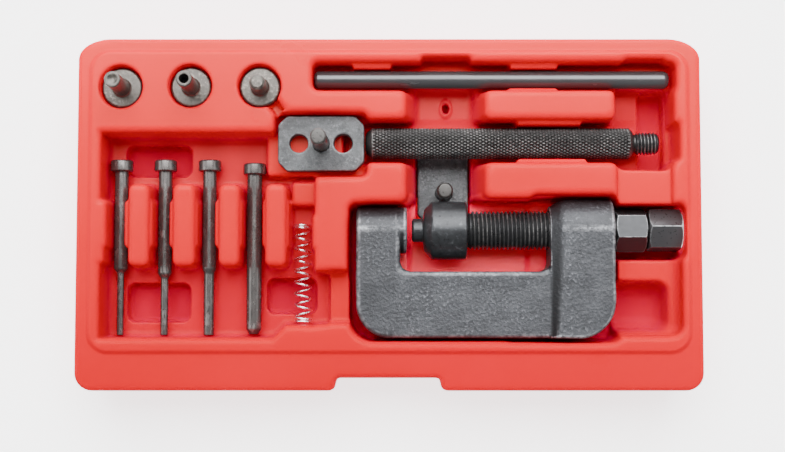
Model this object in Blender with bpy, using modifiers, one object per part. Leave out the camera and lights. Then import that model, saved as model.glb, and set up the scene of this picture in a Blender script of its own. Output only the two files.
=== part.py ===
"""Chain breaking, pressing and riveting kit in its moulded tray.

Metres, +Z up.  X runs along the tray, +Y towards the hinge edge of the tray,
-Y towards the latch edge.  The origin is at the middle of the tray's underside.
Every dimension below is in millimetres and is scaled by MM on the way out.
"""
import bpy
import bmesh
from math import sin, cos, pi, radians, tan, sqrt
from mathutils import Vector, Matrix

MM = 0.001
GAP = 0.3                      # clearance between touching solids

# ---------------------------------------------------------------- tray
TRAY_L, TRAY_W = 223.0, 126.0  # outer size at the rim
PANEL_Z, FLANGE_Z = 30.0, 29.0  # raised inner panel, outer flange
PANEL_X0, PANEL_X1 = -106.4, 106.4
PANEL_Y0, PANEL_Y1 = -49.2, 58.0
TRAY_DRAFT = 3.0               # how far the outer wall leans in at the foot
NOTCH_X0, NOTCH_X1, NOTCH_D = -18.8, 18.1, 4.7
DRAFT = radians(2.0)

# ---------------------------------------------------------------- press
AX_Y, AX_Z = -5.5, 18.5        # screw axis
FRAME_X0, FRAME_X1 = -11.8, 80.3
FRAME_Y0 = -44.3
ARM_W = 15.7
BEAM_H = 23.7
BOSS_X0 = 59.0
WEB_T, BOSS_T = 17.0, 22.5     # thickness of beam and boss
SEAT_R, SEAT_X1 = 8.3, 6.4
M14, M14_BORE = 14.0, 14.5
PITCH_OUT, PITCH_IN = 1.5, 1.25
M10, M10_BORE = 9.7, 10.3
HEX_SMALL, HEX_LARGE = 14.0, 14.0
NOSE_R, NUB_R = 10.5, 4.25
NOSE_X = (8.2, 12.0, 15.0, 27.9)

# ---------------------------------------------------------------- loose pieces
PIN_X = (-97.2, -81.3, -65.2, -48.9)
PIN_Z = 17.3
PIN_TIP_D = (2.5, 2.8, 3.8)
PIN_SHANK_D, PIN_HEAD_D, PIN_HEAD_H = 5.0, 8.2, 4.0
PIN_Y_TOP, PIN_Y_TIP = 20.1, -43.4
PIN_Y_STEP = (-20.2, -22.0, -20.2)   # where each shank turns into its tip
RIVET_Y_TOP, RIVET_Y_TIP = 18.9, -43.0
LEVER_Y, LEVER_Z, LEVER_D = 48.75, 22.3, 6.5
LEVER_X0, LEVER_X1 = -26.9, 101.0
HANDLE_Y, HANDLE_Z, HANDLE_D = 25.9, 20.0, 11.2
HANDLE_X = (-8.5, -6.2, 86.4, 87.8, 89.6, 97.3)
PLATE_C, PLATE_L, PLATE_W, PLATE_T, PLATE_Z0 = (-24.5, 25.5), 31.0, 20.0, 5.0, 19.5
CHAIN_PITCH = 15.875
PLATE_HOLE_D, PLATE_PIN_D, PLATE_PIN_TOP = 6.6, 5.8, 44.5
HOLDER_X0, HOLDER_X1, HOLDER_Y0, HOLDER_Y1 = 10.4, 29.2, -1.6, 29.4
HOLDER_Z0, HOLDER_T = 3.9, 4.2
HOLDER_PIN, HOLDER_PIN_D, HOLDER_PIN_TOP = (20.2, 8.9), 5.8, 21.0
ANVIL_XY = ((-95.7, 45.2), (-71.0, 45.5), (-46.3, 45.5))
ANVIL_TOP = (45.4, 45.1, 38.6)
ANVIL_D, ANVIL_T, ANVIL_Z0, ANVIL_PIN_D = 14.3, 4.0, 23.0, 5.7
SPRING_X, SPRING_Z, SPRING_OD, SPRING_WIRE = -31.0, 16.7, 6.6, 0.8
SPRING_Y0, SPRING_Y1 = -39.0, -2.9

for o in list(bpy.data.objects):
    bpy.data.objects.remove(o, do_unlink=True)

parts = bpy.data.collections.new("chain_tool_kit")
bpy.context.scene.collection.children.link(parts)
tools = bpy.data.collections.new("cutters")
bpy.context.scene.collection.children.link(tools)


def material(name, rgb, metal, rough):
    m = bpy.data.materials.new(name)
    m.use_nodes = True
    b = m.node_tree.nodes["Principled BSDF"]
    b.inputs["Base Color"].default_value = (*rgb, 1.0)
    b.inputs["Metallic"].default_value = metal
    b.inputs["Roughness"].default_value = rough
    m.diffuse_color = (*rgb, 1.0)
    return m


def put(name, bm, mat=None, cutter=False, origin=(0, 0, 0)):
    """bm holds millimetres in world space; the object's origin goes to origin."""
    bmesh.ops.translate(bm, verts=bm.verts, vec=-Vector(origin))
    bmesh.ops.scale(bm, verts=bm.verts, vec=(MM, MM, MM))
    bmesh.ops.recalc_face_normals(bm, faces=bm.faces)
    me = bpy.data.meshes.new(name)
    bm.to_mesh(me)
    bm.free()
    ob = bpy.data.objects.new(name, me)
    ob.location = Vector(origin) * MM
    (tools if cutter else parts).objects.link(ob)
    if cutter:
        ob.hide_render = True
        ob.display_type = 'WIRE'
    if mat:
        me.materials.append(mat)
    return ob


def boolean(ob, cutter, op='DIFFERENCE'):
    m = ob.modifiers.new(cutter.name, 'BOOLEAN')
    m.operation = op
    m.solver = 'EXACT'
    m.object = cutter
    return m


def arc(cx, cy, r, a0, a1, n):
    return [(cx + r * cos(radians(a0 + (a1 - a0) * i / n)), cy + r * sin(radians(a0 + (a1 - a0) * i / n))) for i in range(n + 1)]


def rounded(x0, y0, x1, y1, r, n=4):
    """Rounded rectangle, counter-clockwise; r is one radius or four (bl, br, tr, tl)."""
    rr = (r,) * 4 if not isinstance(r, tuple) else r
    pts = []
    for (cx, cy), q, a in zip(((x0, y0), (x1, y0), (x1, y1), (x0, y1)), rr, (180, 270, 0, 90)):
        sx = 1 if cx == x0 else -1
        sy = 1 if cy == y0 else -1
        if q < 0.05:
            pts.append((cx, cy))
        else:
            pts += arc(cx + sx * q, cy + sy * q, q, a, a + 90, n)
    return pts


def prism(pts, z0, z1, shrink=0.0):
    """Solid between z0 and z1 above an outline; the z0 end is smaller all round by shrink (negative: larger)."""
    bm = bmesh.new()
    vs = [bm.verts.new((x, y, z1)) for x, y in pts]
    f = bm.faces.new(vs)
    ext = bmesh.ops.extrude_face_region(bm, geom=[f])
    low = [v for v in ext["geom"] if isinstance(v, bmesh.types.BMVert)]
    xs = [p[0] for p in pts]
    ys = [p[1] for p in pts]
    cx, cy = (min(xs) + max(xs)) / 2, (min(ys) + max(ys)) / 2
    hx, hy = (max(xs) - min(xs)) / 2, (max(ys) - min(ys)) / 2
    for v in low:
        v.co.z = z0
        v.co.x = cx + (v.co.x - cx) * (hx - shrink) / hx
        v.co.y = cy + (v.co.y - cy) * (hy - shrink) / hy
    bmesh.ops.recalc_face_normals(bm, faces=bm.faces)
    return bm


def round_edges(bm, width, segs, test):
    es = [e for e in bm.edges if test(e)]
    bmesh.ops.bevel(bm, geom=es, offset=width, segments=segs, profile=0.5, affect='EDGES', clamp_overlap=True)


def lathe(name, profile, mat, origin, turn=None, segs=32, cutter=False):
    """Solid of revolution about the local Z of an object at origin (mm).
    profile is (radius, height) pairs; the outer side runs from the top down.
    turn is the rotation that lays the axis down."""
    me = bpy.data.meshes.new(name)
    closed = profile[0][0] > 1e-6
    vs = [(r * MM, 0.0, z * MM) for r, z in profile]
    n = len(vs)
    es = [(i, i + 1) for i in range(n - 1)] + ([(n - 1, 0)] if closed else [])
    me.from_pydata(vs, es, [])
    ob = bpy.data.objects.new(name, me)
    ob.location = Vector(origin) * MM
    if turn:
        ob.rotation_euler = turn
    (tools if cutter else parts).objects.link(ob)
    s = ob.modifiers.new("turned", 'SCREW')
    s.axis = 'Z'
    s.angle = 2 * pi
    s.steps = segs
    s.render_steps = segs
    s.use_merge_vertices = True
    s.merge_threshold = 0.00001
    s.use_smooth_shade = True
    s.use_normal_calculate = False
    if cutter:
        ob.hide_render = True
        ob.display_type = 'WIRE'
    if mat:
        me.materials.append(mat)
    return ob


ALONG_X = (0.0, pi / 2, 0.0)     # local Z becomes world X
ALONG_MY = (pi / 2, 0.0, 0.0)    # local Z becomes world -Y

red = material("red_moulding", (0.62, 0.035, 0.03), 0.0, 0.45)
forged = material("forged_black", (0.05, 0.052, 0.055), 0.8, 0.5)
oxide = material("black_oxide", (0.03, 0.03, 0.032), 0.8, 0.4)
oxide_b = material("black_oxide_bolt", (0.035, 0.035, 0.038), 0.8, 0.38)
oxide_c = material("black_oxide_knurl", (0.04, 0.04, 0.042), 0.8, 0.45)
grey = material("grey_steel", (0.16, 0.165, 0.17), 0.8, 0.5)
zinc = material("zinc_wire", (0.6, 0.6, 0.62), 1.0, 0.25)

# ================================================================ case tray
CORNER_A, CORNER_B = 12.0, 7.6  # the two hinge-side corners are wider than they are deep
tx, ty = TRAY_L / 2, TRAY_W / 2
pts = arc(-tx + 6.0, -ty + 6.0, 6.0, 180, 270, 5) + arc(tx - 6.0, -ty + 6.0, 6.0, 270, 360, 5)
pts += [(tx - CORNER_A + CORNER_A * cos(radians(15 * i)), ty - CORNER_B + CORNER_B * sin(radians(15 * i))) for i in range(7)]
pts += [(-tx + CORNER_A - CORNER_A * sin(radians(15 * i)), ty - CORNER_B + CORNER_B * cos(radians(15 * i))) for i in range(7)]
bm = prism(pts, 0.0, FLANGE_Z, TRAY_DRAFT)
tray = put("case_tray", bm, red)

bm = prism(rounded(PANEL_X0, PANEL_Y0, PANEL_X1, PANEL_Y1, 7.0, 4), FLANGE_Z - 2.0, PANEL_Z, -0.6)
boolean(tray, put("tray_panel", bm, cutter=True), 'UNION')

bm = prism(rounded(NOTCH_X0, -TRAY_W / 2 - 6.0, NOTCH_X1, -TRAY_W / 2 + NOTCH_D, (0, 0, 1.5, 1.5), 2), -1.0, 32.0, 0.0)
boolean(tray, put("tray_latch_notch", bm, cutter=True))

TOP = 34.0
pocket_count = [0]


def pocket(x0, y0, x1, y1, floor, r=3.0, n=3, draft=DRAFT):
    """Open-topped recess; the sizes are those at the panel face."""
    over = (TOP - PANEL_Z) * tan(draft)
    drop = (TOP - floor) * tan(draft)
    pocket_count[0] += 1
    b = prism(rounded(x0 - over, y0 - over, x1 + over, y1 + over, r, n), floor, TOP, drop)
    boolean(tray, put("tray_pocket_%02d" % pocket_count[0], b, cutter=True))


def island(x0, y0, x1, y1, foot, top, r=2.5, n=3, draft=DRAFT, pts=None):
    """Standing block; the sizes are those at its top face."""
    pocket_count[0] += 1
    b = prism(pts or rounded(x0, y0, x1, y1, r, n), foot, top, -(top - foot) * tan(draft))
    boolean(tray, put("tray_block_%02d" % pocket_count[0], b, cutter=True), 'UNION')


PIN_FLOOR = 13.0
GRIP_Z, PIN_GRIP_Z = 26.5, 27.5  # tops of the small ledges that hold the pieces
pocket(-102.6, -44.3, -38.7, 28.9, PIN_FLOOR, 4.0, 4)                 # breaker pins and riveter
pocket(-42.0, -39.8, -26.4, 27.6, PIN_FLOOR + 0.03, 3.0)             # spring
pocket(-30.0, -39.4, -20.8, -20.5, PIN_FLOOR + 0.06, 2.0)            # lower right arm
pocket(-22.5, -39.0, -12.5, -20.2, 21.0, 1.5)                         # low strip towards the press
pocket(-14.5, -45.6, 82.1, 3.8, 9.7, (9.0, 6.0, 4.0, 4.0), 4)         # press frame
pocket(50.0, -45.4, 82.0, 6.7, 6.95, 4.0)                             # its boss
pocket(7.0, -24.0, 60.0, 5.3, 7.6, 3.0, draft=0.0)                    # travel of the thrust nose
pocket(80.0, -43.4, 103.9, 2.7, 20.0, 4.0)                            # shelf right of the boss
pocket(79.0, -16.6, 105.9, 3.5, 9.0, 3.0)                             # heads of the two screws
pocket(71.0, -43.3, 100.5, -22.4, 8.0, 4.0, draft=radians(7.0))       # finger room below the heads
pocket(-27.5, 44.0, 102.6, 54.4, 18.7, 2.5)                           # lever
pocket(11.4, 50.0, 29.2, 56.2, 18.72, 1.5)                            # finger room beside the lever
pocket(83.8, 50.0, 99.1, 55.4, 18.74, 1.5)
pocket(-10.6, 18.1, 99.2, 33.7, 14.1, 2.0)                            # handle
pocket(5.8, -6.0, 34.4, 51.3, 13.0, 2.5, draft=radians(14.0))          # cross channel
pocket(9.0, -7.0, 30.4, 30.6, 3.6, 1.5)                               # plate under handle and press
pocket(80.6, 15.45, 101.7, 47.0, 13.4, 4.0)                           # thread end of the handle
pocket(84.0, 18.5, 103.6, 32.8, 13.9, 2.0)
pocket(90.6, 15.6, 101.1, 46.6, 6.4, 2.5)
pocket(81.2, 1.5, 100.7, 18.3, 27.0, 1.5)                             # low block between heads and handle end
pocket(-41.03, 13.07, -7.83, 36.13, 19.2, 2.3)                         # press plate
pocket(-97.0, 13.9, -71.8, 26.6, 6.5, 3.0)                            # finger room under the pins
pocket(-96.1, -39.2, -71.8, -23.7, 6.5, 3.0)
pocket(-45.2, -36.2, -25.7, -21.9, 6.5, 3.0)
pocket(-17.0, 20.0, -6.0, 31.5, 14.1, 2.0)                            # butt end of the handle
ISLANDS = ((-92.6, -85.2, -94.15, -84.35), (-76.8, -68.9, -78.15, -68.35), (-60.5, -53.1, -61.95, -52.6), (-44.0, -36.5, -45.0, -35.8))
for ix0, ix1, bx0, bx1 in ISLANDS:
    island(ix0, -18.8, ix1, 10.4, PIN_FLOOR - 1.0, PANEL_Z)
    island(bx0, -12.0, bx1, 4.8, PIN_FLOOR - 1.2, PIN_GRIP_Z, 2.0)
island(-106.0, -12.2, -100.4, 4.8, PIN_FLOOR - 1.4, PANEL_Z - 0.25, 1.5)   # grip beside the first pin
island(-106.0, -17.6, -101.2, -8.0, PIN_FLOOR - 1.6, PANEL_Z - 0.2, 1.0)
island(-27.2, -12.8, -22.0, -0.7, PIN_FLOOR - 1.8, PANEL_Z - 0.3, 1.5)    # grip beside the spring
island(-34.8, 3.9, -25.0, 11.7, PIN_FLOOR - 1.0, 20.0, 1.5)
island(-43.9, 14.63, -24.7, 30.37, PIN_FLOOR - 1.5, PLATE_Z0 - GAP - 0.06, 1.4)   # rest under the press plate
island(46.0, 32.15, 68.9, 35.0, 11.0, GRIP_Z, 1.0)                # grips on both sides of the handle
island(46.0, 17.0, 70.5, 19.65, 11.3, GRIP_Z + 0.05, 1.0)
island(43.6, 52.55, 60.5, 56.0, 16.0, GRIP_Z - 0.5, 1.0)                # grips on both sides of the lever
island(42.7, 42.0, 60.4, 45.2, 16.3, GRIP_Z - 0.45, 1.0)
island(-13.0, 52.55, 0.7, 56.0, 16.5, GRIP_Z - 0.55, 1.0)
# short passage between the third anvil and the press plate
boolean(tray, put("tray_passage", prism([(-44.1, 39.5), (-40.5, 34.8), (-37.3, 37.2), (-40.9, 41.9)], 22.7, TOP, 0.1), cutter=True))

for (cx, cy) in ANVIL_XY:
    lathe("tray_anvil_%d" % (-cx), [(0, 40.0), (7.95, 40.0), (7.5, ANVIL_Z0 - GAP), (0, ANVIL_Z0 - GAP)], None, (cx, cy, 0), segs=32, cutter=True)
    boolean(tray, bpy.data.objects["tray_anvil_%d" % (-cx)])

# passage for the screw heads through the end wall, below the rim
boolean(tray, lathe("tray_screw_passage", [(0, 120.0), (8.55, 120.0), (8.55, 96.0), (0, 96.0)], None, (0, AX_Y, AX_Z), ALONG_X, 32, True))
# blow-moulding vent hole in the floor of the cross channel
boolean(tray, lathe("tray_vent", [(0, 30.0), (1.3, 30.0), (1.3, 8.0), (0, 8.0)], None, (20.7, 38.3, 0), segs=12, cutter=True))

# ================================================================ press frame
pts = []
pts += arc(FRAME_X0 + 12.3, FRAME_Y0 + 12.3, 12.3, 180, 270, 6)
pts += arc(FRAME_X1 - 13.0, FRAME_Y0 + 13.0, 13.0, 270, 360, 6)
pts += [(FRAME_X1, AX_Y + 1.6), (BOSS_X0, AX_Y + 1.6)]
beam_top = FRAME_Y0 + BEAM_H
pts += arc(BOSS_X0 - 5.0, beam_top + 5.0, 5.0, 360, 270, 4)
arm_r = FRAME_X0 + ARM_W
pts += arc(arm_r + 3.5, beam_top + 3.5, 3.5, 270, 180, 3)
pts += [(arm_r, AX_Y + 1.6), (FRAME_X0, AX_Y + 1.6)]
bm = prism(pts, AX_Z - WEB_T / 2, AX_Z + WEB_T / 2)
round_edges(bm, 1.6, 2, lambda e: abs(e.verts[0].co.z - e.verts[1].co.z) < 1e-4)
frame = put("press_frame", bm, forged, origin=(0, AX_Y, AX_Z))

pts = arc(FRAME_X1 - 13.0, FRAME_Y0 + 13.0, 13.0, 270, 360, 6)
pts += [(FRAME_X1, AX_Y + 1.8), (BOSS_X0, AX_Y + 1.8), (BOSS_X0, FRAME_Y0)]
bm = prism(pts, AX_Z - BOSS_T / 2, AX_Z + BOSS_T / 2)
round_edges(bm, 1.8, 2, lambda e: abs(e.verts[0].co.z - e.verts[1].co.z) < 1e-4)
boolean(frame, put("frame_boss", bm, cutter=True), 'UNION')
# both upper ends are half round about the screw axis
wr, br = WEB_T / 2 - 0.04, BOSS_T / 2 - 0.04
boolean(frame, lathe("frame_arm_end", [(0, arm_r - 0.02), (wr - 1.5, arm_r - 0.02), (wr, arm_r - 1.5), (wr, FRAME_X0 + 1.52), (wr - 1.5, FRAME_X0 + 0.02), (0, FRAME_X0 + 0.02)], None, (0, AX_Y, AX_Z), ALONG_X, 40, True), 'UNION')
boolean(frame, lathe("frame_boss_end", [(0, FRAME_X1 - 0.02), (br - 1.8, FRAME_X1 - 0.02), (br, FRAME_X1 - 1.8), (br, BOSS_X0 + 1.8), (br - 1.8, BOSS_X0 + 0.02), (0, BOSS_X0 + 0.02)], None, (0, AX_Y, AX_Z), ALONG_X, 48, True), 'UNION')
boolean(frame, lathe("frame_seat", [(0, SEAT_X1), (SEAT_R - 0.6, SEAT_X1), (SEAT_R, SEAT_X1 - 0.6), (SEAT_R, 0.0), (0, 0.0)], None, (0, AX_Y, AX_Z), ALONG_X, 32, True), 'UNION')
boolean(frame, lathe("frame_thread_bore", [(0, 90.0), (M14_BORE / 2, 90.0), (M14_BORE / 2, 50.0), (0, 50.0)], None, (0, AX_Y, AX_Z), ALONG_X, 32, True))
boolean(frame, lathe("frame_anvil_bore", [(0, 9.0), (3.1, 9.0), (3.1, -14.0), (0, -14.0)], None, (0, AX_Y, AX_Z), ALONG_X, 24, True))
boolean(frame, lathe("frame_handle_socket", [(0, 50.0), (4.25, 50.0), (4.25, 31.3), (0, 28.9)], None, (70.0, 0, AX_Z), ALONG_MY, 24, True))


def hexagon(name, af, x0, x1, turn_deg, mat, cham0, cham1):
    """Hexagonal prism along X with turned corners, as bm in world mm."""
    r = af / sqrt(3.0)
    b = bmesh.new()
    bmesh.ops.create_cone(b, cap_ends=True, segments=6, radius1=r, radius2=r, depth=x1 - x0)
    bmesh.ops.rotate(b, verts=b.verts, matrix=Matrix.Rotation(radians(turn_deg), 3, 'Z'))
    bmesh.ops.translate(b, verts=b.verts, vec=(0, 0, (x0 + x1) / 2))
    bmesh.ops.rotate(b, verts=b.verts, matrix=Matrix.Rotation(pi / 2, 3, 'Y'))
    bmesh.ops.translate(b, verts=b.verts, vec=(0, AX_Y, AX_Z))
    ob = put(name, b, mat, origin=(0, AX_Y, AX_Z), cutter=mat is None)
    ring = lathe(name + "_corners", [(0, x1), (af / 2 - 0.2, x1), (af / 2 - 0.2 + cham1 * 1.7, x1 - cham1), (af / 2 - 0.2 + cham0 * 1.7, x0 + cham0), (af / 2 - 0.2, x0), (0, x0)], None, (0, AX_Y, AX_Z), ALONG_X, 36, True)
    boolean(ob, ring, 'INTERSECT')
    return ob


# ================================================================ pressure screw
HX1 = (81.3, 92.6)
HX2 = (93.2, 105.3)
hex1 = hexagon("pressure_screw", HEX_SMALL, HX1[0], HX1[1], 20.5, oxide_b, 0.9, 0.9)
body = lathe("pressure_screw_thread", [(0, HX1[0] + 1.0), (M14 / 2 - 0.9, HX1[0] + 1.0), (M14 / 2 - 0.9, HX1[0] - 0.4), (M14 / 2, HX1[0] - 1.3), (M14 / 2, 29.2),
                                        (M14 / 2 - 0.9, 28.3), (4.3, 28.3), (4.3, 22.7), (0, 22.7)], None, (0, AX_Y, AX_Z), ALONG_X, 32, True)
boolean(hex1, body, 'UNION')
bore = lathe("pressure_screw_bore", [(0, 95.0), (M10_BORE / 2, 95.0), (M10_BORE / 2, 31.0), (2.8, 30.0), (2.8, 20.0), (0, 20.0)], None, (0, AX_Y, AX_Z), ALONG_X, 32, True)
boolean(hex1, bore)

# thrust nose: stays still while the screw turns behind it
x0, x1, x2, x3 = NOSE_X
nose = lathe("thrust_nose", [(4.65, x3), (NOSE_R - 0.6, x3), (NOSE_R, x3 - 0.6), (NOSE_R, x2 + 0.4), (NOSE_R - 2.6, x1 + 0.9), (NUB_R, x1 + 0.9), (NUB_R, x0 + 0.6),
                             (NUB_R - 0.5, x0), (2.75, x0), (2.75, 22.3), (4.65, 22.3)], oxide, (0, AX_Y, AX_Z), ALONG_X, 36)

# ================================================================ extraction screw
hex2 = hexagon("extraction_screw", HEX_LARGE, HX2[0], HX2[1], -8.0, oxide, 1.2, 1.2)
body = lathe("extraction_screw_thread", [(0, HX2[0] + 1.0), (M10 / 2 - 0.5, HX2[0] + 1.0), (M10 / 2 - 0.5, 88.0), (M10 / 2, 87.5), (M10 / 2, 43.1), (M10 / 2 - 0.8, 42.3), (0, 42.3)], None, (0, AX_Y, AX_Z), ALONG_X, 28, True)
boolean(hex2, body, 'UNION')
plunger = lathe("drive_plunger", [(0, 42.0), (3.7, 42.0), (4.1, 41.6), (4.1, 36.4), (3.7, 36.0), (0, 36.0)], oxide, (0, AX_Y, AX_Z), ALONG_X, 24)

# ================================================================ handle and lever
h = HANDLE_X
hr = HANDLE_D / 2
lathe("handle", [(0, h[5]), (3.2, h[5]), (4.0, h[5] - 0.8), (4.0, h[4]), (3.2, h[4] - 0.3), (3.2, h[3] + 0.2), (hr - 1.2, h[3]), (hr, h[2]), (hr, h[1]), (hr - 1.7, h[0] + 0.4), (hr - 2.6, h[0]), (0, h[0])],
      oxide_c, (0, HANDLE_Y, HANDLE_Z), ALONG_X, 32)
lr = LEVER_D / 2
lathe("lever", [(0, LEVER_X1), (lr - 1.6, LEVER_X1 - 0.25), (lr - 0.5, LEVER_X1 - 0.9), (lr, LEVER_X1 - 2.0), (lr, LEVER_X0 + 0.9), (lr - 0.9, LEVER_X0), (0, LEVER_X0)], oxide, (0, LEVER_Y, LEVER_Z), ALONG_X, 28)

# ================================================================ breaker pins and riveter
for px, tip, step, nm in zip(PIN_X[:3], PIN_TIP_D, PIN_Y_STEP, ("2_5", "2_8", "3_8")):
    sr, hd = PIN_SHANK_D / 2, PIN_HEAD_D / 2
    lathe("breaker_pin_" + nm, [(0, -PIN_Y_TIP), (tip / 2 - 0.25, -PIN_Y_TIP), (tip / 2, -PIN_Y_TIP - 0.25), (tip / 2, -step + 0.8), (sr, -step - 0.6), (sr, -PIN_Y_TOP + PIN_HEAD_H + 0.3),
                                (sr + 0.3, -PIN_Y_TOP + PIN_HEAD_H), (hd - 0.3, -PIN_Y_TOP + PIN_HEAD_H), (hd, -PIN_Y_TOP + PIN_HEAD_H - 0.3), (hd, -PIN_Y_TOP + 0.5), (hd - 0.5, -PIN_Y_TOP), (0, -PIN_Y_TOP)],
          oxide, (px, 0, PIN_Z), ALONG_MY, 24)
sr, hd = PIN_SHANK_D / 2 + 0.25, PIN_HEAD_D / 2
lathe("rivet_pin", [(0, -RIVET_Y_TIP), (1.6, -RIVET_Y_TIP), (sr, -RIVET_Y_TIP - 1.9), (sr, -RIVET_Y_TOP + 4.0), (hd - 0.3, -RIVET_Y_TOP + 4.0), (hd, -RIVET_Y_TOP + 3.7), (hd, -RIVET_Y_TOP + 0.5), (hd - 0.5, -RIVET_Y_TOP), (0, -RIVET_Y_TOP)],
      oxide, (PIN_X[3], 0, PIN_Z), ALONG_MY, 24)

# ================================================================ press plate
cx, cy = PLATE_C
c = 3.3
hx, hy = PLATE_L / 2, PLATE_W / 2
pts = [(cx - hx, cy - hy + c), (cx - hx + c, cy - hy), (cx + hx - c, cy - hy), (cx + hx, cy - hy + c), (cx + hx, cy + hy - c), (cx + hx - c, cy + hy), (cx - hx + c, cy + hy), (cx - hx, cy + hy - c)]
bm = prism(pts, PLATE_Z0, PLATE_Z0 + PLATE_T)
round_edges(bm, 0.35, 1, lambda e: abs(e.verts[0].co.z - e.verts[1].co.z) < 1e-4)
plate = put("press_plate", bm, grey, origin=(cx, cy, PLATE_Z0))
for i, (dx, d) in enumerate(((-CHAIN_PITCH / 2, PLATE_HOLE_D), (CHAIN_PITCH / 2, PLATE_HOLE_D), (0.0, PLATE_PIN_D + 0.6))):
    boolean(plate, lathe("plate_hole_%d" % i, [(0, 30.0), (d / 2, 30.0), (d / 2, 15.0), (0, 15.0)], None, (cx + dx, cy, 0), segs=24, cutter=True))
pr = PLATE_PIN_D / 2
lathe("press_plate_pin", [(0, PLATE_PIN_TOP), (pr - 0.6, PLATE_PIN_TOP), (pr, PLATE_PIN_TOP - 0.6), (pr, PLATE_Z0), (0, PLATE_Z0)], oxide, (cx, cy, 0), segs=24)

# ================================================================ plate under the press
c = 2.5
pts = [(HOLDER_X0, HOLDER_Y0 + c), (HOLDER_X0 + c, HOLDER_Y0), (HOLDER_X1 - c, HOLDER_Y0), (HOLDER_X1, HOLDER_Y0 + c), (HOLDER_X1, HOLDER_Y1 - c), (HOLDER_X1 - c, HOLDER_Y1), (HOLDER_X0 + c, HOLDER_Y1), (HOLDER_X0, HOLDER_Y1 - c)]
bm = prism(pts, HOLDER_Z0, HOLDER_Z0 + HOLDER_T)
round_edges(bm, 0.35, 1, lambda e: abs(e.verts[0].co.z - e.verts[1].co.z) < 1e-4)
holder = put("anvil_plate", bm, grey, origin=(HOLDER_PIN[0], HOLDER_PIN[1], HOLDER_Z0))
boolean(holder, lathe("anvil_plate_hole", [(0, 12.0), (HOLDER_PIN_D / 2 + 0.3, 12.0), (HOLDER_PIN_D / 2 + 0.3, 2.0), (0, 2.0)], None, (*HOLDER_PIN, 0), segs=24, cutter=True))
pr = HOLDER_PIN_D / 2
lathe("anvil_plate_pin", [(0, HOLDER_PIN_TOP), (pr - 0.6, HOLDER_PIN_TOP), (pr, HOLDER_PIN_TOP - 0.6), (pr, HOLDER_Z0), (0, HOLDER_Z0)], oxide, (*HOLDER_PIN, 0), segs=24)

# ================================================================ anvils
dr, pr, z0, z1 = ANVIL_D / 2, ANVIL_PIN_D / 2, ANVIL_Z0, ANVIL_Z0 + ANVIL_T
t = ANVIL_TOP
foot = [(dr - 0.5, z1), (dr, z1 - 0.5), (dr, z0 + 0.4), (dr - 0.4, z0)]
lathe("anvil_solid", [(0, t[0] - 0.7), (pr - 1.0, t[0]), (pr - 0.3, t[0]), (pr, t[0] - 0.3), (pr, z1 + 0.5), (pr + 0.5, z1)] + foot + [(0, z0)], oxide, (*ANVIL_XY[0], 0), segs=28)
lathe("anvil_hollow", [(0, t[1] - 9.0), (1.65, t[1] - 9.0), (1.65, t[1]), (pr - 0.3, t[1]), (pr, t[1] - 0.3), (pr, z1 + 0.5), (pr + 0.5, z1)] + foot + [(0, z0)], oxide, (*ANVIL_XY[1], 0), segs=28)
lathe("anvil_short", [(0, t[2]), (pr - 0.9, t[2]), (pr, t[2] - 0.9), (pr, z1 + 0.5), (pr + 0.5, z1)] + foot + [(0, z0)], oxide, (*ANVIL_XY[2], 0), segs=28)

# ================================================================ return spring
cu = bpy.data.curves.new("return_spring", 'CURVE')
cu.dimensions = '3D'
cu.bevel_depth = SPRING_WIRE / 2 * MM
cu.bevel_resolution = 1
cu.use_fill_caps = True
R = (SPRING_OD - SPRING_WIRE) / 2
length = SPRING_Y1 - SPRING_Y0 - SPRING_WIRE
dead, active, per = 1.25, 8.0, 14
turns = active + 2 * dead
steps = int(turns * per)
dead_rise = dead * (SPRING_WIRE + 0.12)
pts = []
for i in range(steps + 1):
    u = turns * i / steps
    if u < dead:
        y = dead_rise * u / dead
    elif u > turns - dead:
        y = length - dead_rise * (turns - u) / dead
    else:
        y = dead_rise + (length - 2 * dead_rise) * (u - dead) / active
    a = 2 * pi * u
    pts.append((R * cos(a) * MM, (y + SPRING_WIRE / 2) * MM, R * sin(a) * MM))
sp = cu.splines.new('POLY')
sp.points.add(len(pts) - 1)
for p, q in zip(sp.points, pts):
    p.co = (*q, 1.0)
spring = bpy.data.objects.new("return_spring", cu)
spring.location = Vector((SPRING_X, SPRING_Y0, SPRING_Z)) * MM
spring.rotation_euler = (0, 0, radians(1.0))
parts.objects.link(spring)
cu.materials.append(zinc)

for ob in parts.objects:
    if ob.type == 'MESH' and len(ob.data.polygons):
        for p in ob.data.polygons:
            p.use_smooth = True
        ob.data.set_sharp_from_angle(angle=radians(32))
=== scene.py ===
"""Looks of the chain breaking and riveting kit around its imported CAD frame.
All local sizes are millimetres in the row frame; MM turns them into metres."""
import math
from math import pi, sin, cos, tan, sqrt, radians
import bpy
import numpy as np
from mathutils import Vector, Matrix


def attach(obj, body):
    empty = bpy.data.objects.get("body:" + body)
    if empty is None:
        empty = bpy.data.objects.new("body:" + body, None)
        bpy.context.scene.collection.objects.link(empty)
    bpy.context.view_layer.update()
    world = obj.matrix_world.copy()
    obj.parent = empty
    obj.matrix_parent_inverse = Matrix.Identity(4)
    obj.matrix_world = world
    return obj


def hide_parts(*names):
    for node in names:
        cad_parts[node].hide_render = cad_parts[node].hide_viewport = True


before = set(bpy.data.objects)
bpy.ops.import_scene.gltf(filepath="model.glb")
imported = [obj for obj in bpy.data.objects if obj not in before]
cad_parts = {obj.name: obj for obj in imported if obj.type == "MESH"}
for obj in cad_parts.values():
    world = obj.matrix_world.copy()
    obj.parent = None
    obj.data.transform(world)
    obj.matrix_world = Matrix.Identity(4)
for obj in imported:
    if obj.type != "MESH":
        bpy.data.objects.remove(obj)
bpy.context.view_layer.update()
MM = 0.001

# =========================================================================== meshes


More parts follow.
